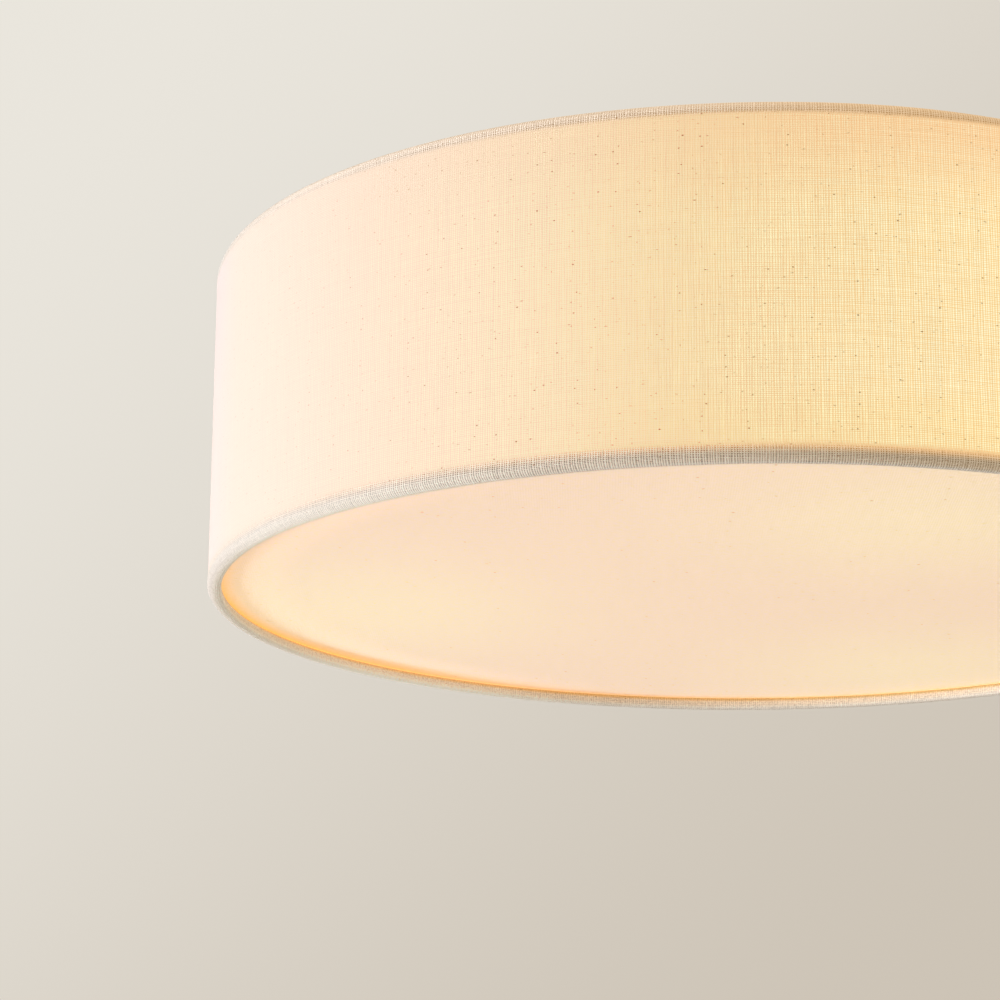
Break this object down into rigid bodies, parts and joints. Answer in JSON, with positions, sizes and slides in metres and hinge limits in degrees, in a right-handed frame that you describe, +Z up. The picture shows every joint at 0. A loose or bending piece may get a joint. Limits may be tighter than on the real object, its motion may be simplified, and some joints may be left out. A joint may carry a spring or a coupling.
{
  "type": "flush mount ceiling light",
  "caption": "Flush drum ceiling light: natural cloth shade rolled over wire rings, flat cloth diffuser, screw-in lamps on a pressed round canopy with a slotted ceiling strap.",
  "frame": {"origin": "on the ceiling, at the middle of the strap's slots and of the drum", "axes": "+Z up, out of the ceiling face and along the drum's axis; +Y along the strap"},
  "size_m": [0.5, 0.5, 0.16],
  "materials": {
    "cloth": "plain-woven natural cotton and linen, unbleached, with brown flecks",
    "liner": "translucent white laminating film",
    "ring_wire": "bright drawn wire",
    "white_enamel": "white powder coat, satin",
    "zinc_plate": "zinc-plated steel",
    "nickel_plate": "nickel plate",
    "brass": "plain brass",
    "nylon": "natural nylon",
    "holder_plastic": "white heat-proof moulding",
    "bulb_tip_metal": "tinned contact",
    "bulb_insulator_glass": "black insulator",
    "bulb_cap_metal": "nickel-plated screw cap",
    "bulb_plastic": "white moulding",
    "lamp_board": "white solder mask on aluminium",
    "bulb_opal": "opal diffusing dome, lit warm white",
    "bush_rubber": "black bush",
    "lead_sheath": "white sheath",
    "earth_sheath": "green and yellow sheath",
    "terminal_plastic": "natural polyamide"
  },
  "bodies": {
    "base": {"canopy": "white_enamel", "ceiling_strap": "zinc_plate", "canopy_studs": "zinc_plate", "hex_nuts": "zinc_plate", "cap_nuts": "nickel_plate", "bracket_rivets": "zinc_plate", "holder_nipples": "zinc_plate", "holder_nuts": "zinc_plate", "lead_grommets": "bush_rubber", "terminal_block": "terminal_plastic", "terminal_screws": "brass", "block_screws": "zinc_plate", "earth_screw": "brass", "earth_lead": "earth_sheath", "lampholder_bracket_1": "zinc_plate", "lampholder_1": "holder_plastic", "screw_shell_1": "brass", "spring_contact_1": "brass", "lamp_lead_1": "lead_sheath", "lampholder_bracket_2": "zinc_plate", "lampholder_2": "holder_plastic", "screw_shell_2": "brass", "spring_contact_2": "brass", "lamp_lead_2": "lead_sheath", "lampholder_bracket_3": "zinc_plate", "lampholder_3": "holder_plastic", "screw_shell_3": "brass", "spring_contact_3": "brass", "lamp_lead_3": "lead_sheath"},
    "shade": {"shade_cloth": "cloth", "shade_liner": "liner", "top_ring": "ring_wire", "bottom_ring": "ring_wire", "screw_washers": "nylon", "fitter_arm_1": "white_enamel", "fitter_arm_2": "white_enamel", "fitter_arm_3": "white_enamel"},
    "diffuser": {"diffuser_cloth": "cloth", "diffuser_sheet": "liner"},
    "bulb_1_tip": {"bulb_contact_1": "bulb_tip_metal"},
    "bulb_1": {"bulb_insulator_1": "bulb_insulator_glass", "bulb_cap_1": "bulb_cap_metal", "bulb_housing_1": "bulb_plastic", "lamp_board_1": "lamp_board", "bulb_globe_1": "bulb_opal"},
    "thumb_screw_1": {"shade_screw_1": "nickel_plate"},
    "bulb_2_tip": {"bulb_contact_2": "bulb_tip_metal"},
    "bulb_2": {"bulb_insulator_2": "bulb_insulator_glass", "bulb_cap_2": "bulb_cap_metal", "bulb_housing_2": "bulb_plastic", "lamp_board_2": "lamp_board", "bulb_globe_2": "bulb_opal"},
    "thumb_screw_2": {"shade_screw_2": "nickel_plate"},
    "bulb_3_tip": {"bulb_contact_3": "bulb_tip_metal"},
    "bulb_3": {"bulb_insulator_3": "bulb_insulator_glass", "bulb_cap_3": "bulb_cap_metal", "bulb_housing_3": "bulb_plastic", "lamp_board_3": "lamp_board", "bulb_globe_3": "bulb_opal"},
    "thumb_screw_3": {"shade_screw_3": "nickel_plate"}
  },
  "joints": [
    {"name": "shade_drop", "type": "slide", "parent": "base", "child": "shade", "axis": [0, 0, -1], "range_m": [0, 0.12]},
    {"name": "diffuser_lift", "type": "slide", "parent": "shade", "child": "diffuser", "axis": [0, 0, 1], "range_m": [0, 0.04]},
    {"name": "bulb_1_travel", "type": "slide", "parent": "base", "child": "bulb_1_tip", "axis": [-1, 0, 0], "range_m": [0, 0.0109]},
    {"name": "bulb_1_turn", "type": "hinge", "parent": "bulb_1_tip", "child": "bulb_1", "pos_m": [-0.15, 0, -0.07], "axis": [-1, 0, 0], "range_deg": [0, 1080]},
    {"name": "bulb_2_travel", "type": "slide", "parent": "base", "child": "bulb_2_tip", "axis": [0.5, 0.866, 0], "range_m": [0, 0.0109]},
    {"name": "bulb_2_turn", "type": "hinge", "parent": "bulb_2_tip", "child": "bulb_2", "pos_m": [0.075, 0.1299, -0.07], "axis": [0.5, 0.866, 0], "range_deg": [0, 1080]},
    {"name": "bulb_3_travel", "type": "slide", "parent": "base", "child": "bulb_3_tip", "axis": [0.5, -0.866, 0], "range_m": [0, 0.0109]},
    {"name": "bulb_3_turn", "type": "hinge", "parent": "bulb_3_tip", "child": "bulb_3", "pos_m": [0.075, -0.1299, -0.07], "axis": [0.5, -0.866, 0], "range_deg": [0, 1080]},
    {"name": "thumb_screw_1_turn", "type": "hinge", "parent": "shade", "child": "thumb_screw_1", "pos_m": [0.125, 0, -0.035], "axis": [0, 0, 1], "continuous": true},
    {"name": "thumb_screw_2_turn", "type": "hinge", "parent": "shade", "child": "thumb_screw_2", "pos_m": [-0.0625, 0.10825, -0.035], "axis": [0, 0, 1], "continuous": true},
    {"name": "thumb_screw_3_turn", "type": "hinge", "parent": "shade", "child": "thumb_screw_3", "pos_m": [-0.0625, -0.10825, -0.035], "axis": [0, 0, 1], "continuous": true}
  ],
  "couplings": [
    {"joint": "bulb_1_travel", "follows": "bulb_1_turn", "m_per_rad": 0.00057757},
    {"joint": "bulb_2_travel", "follows": "bulb_2_turn", "m_per_rad": 0.00057757},
    {"joint": "bulb_3_travel", "follows": "bulb_3_turn", "m_per_rad": 0.00057757}
  ]
}
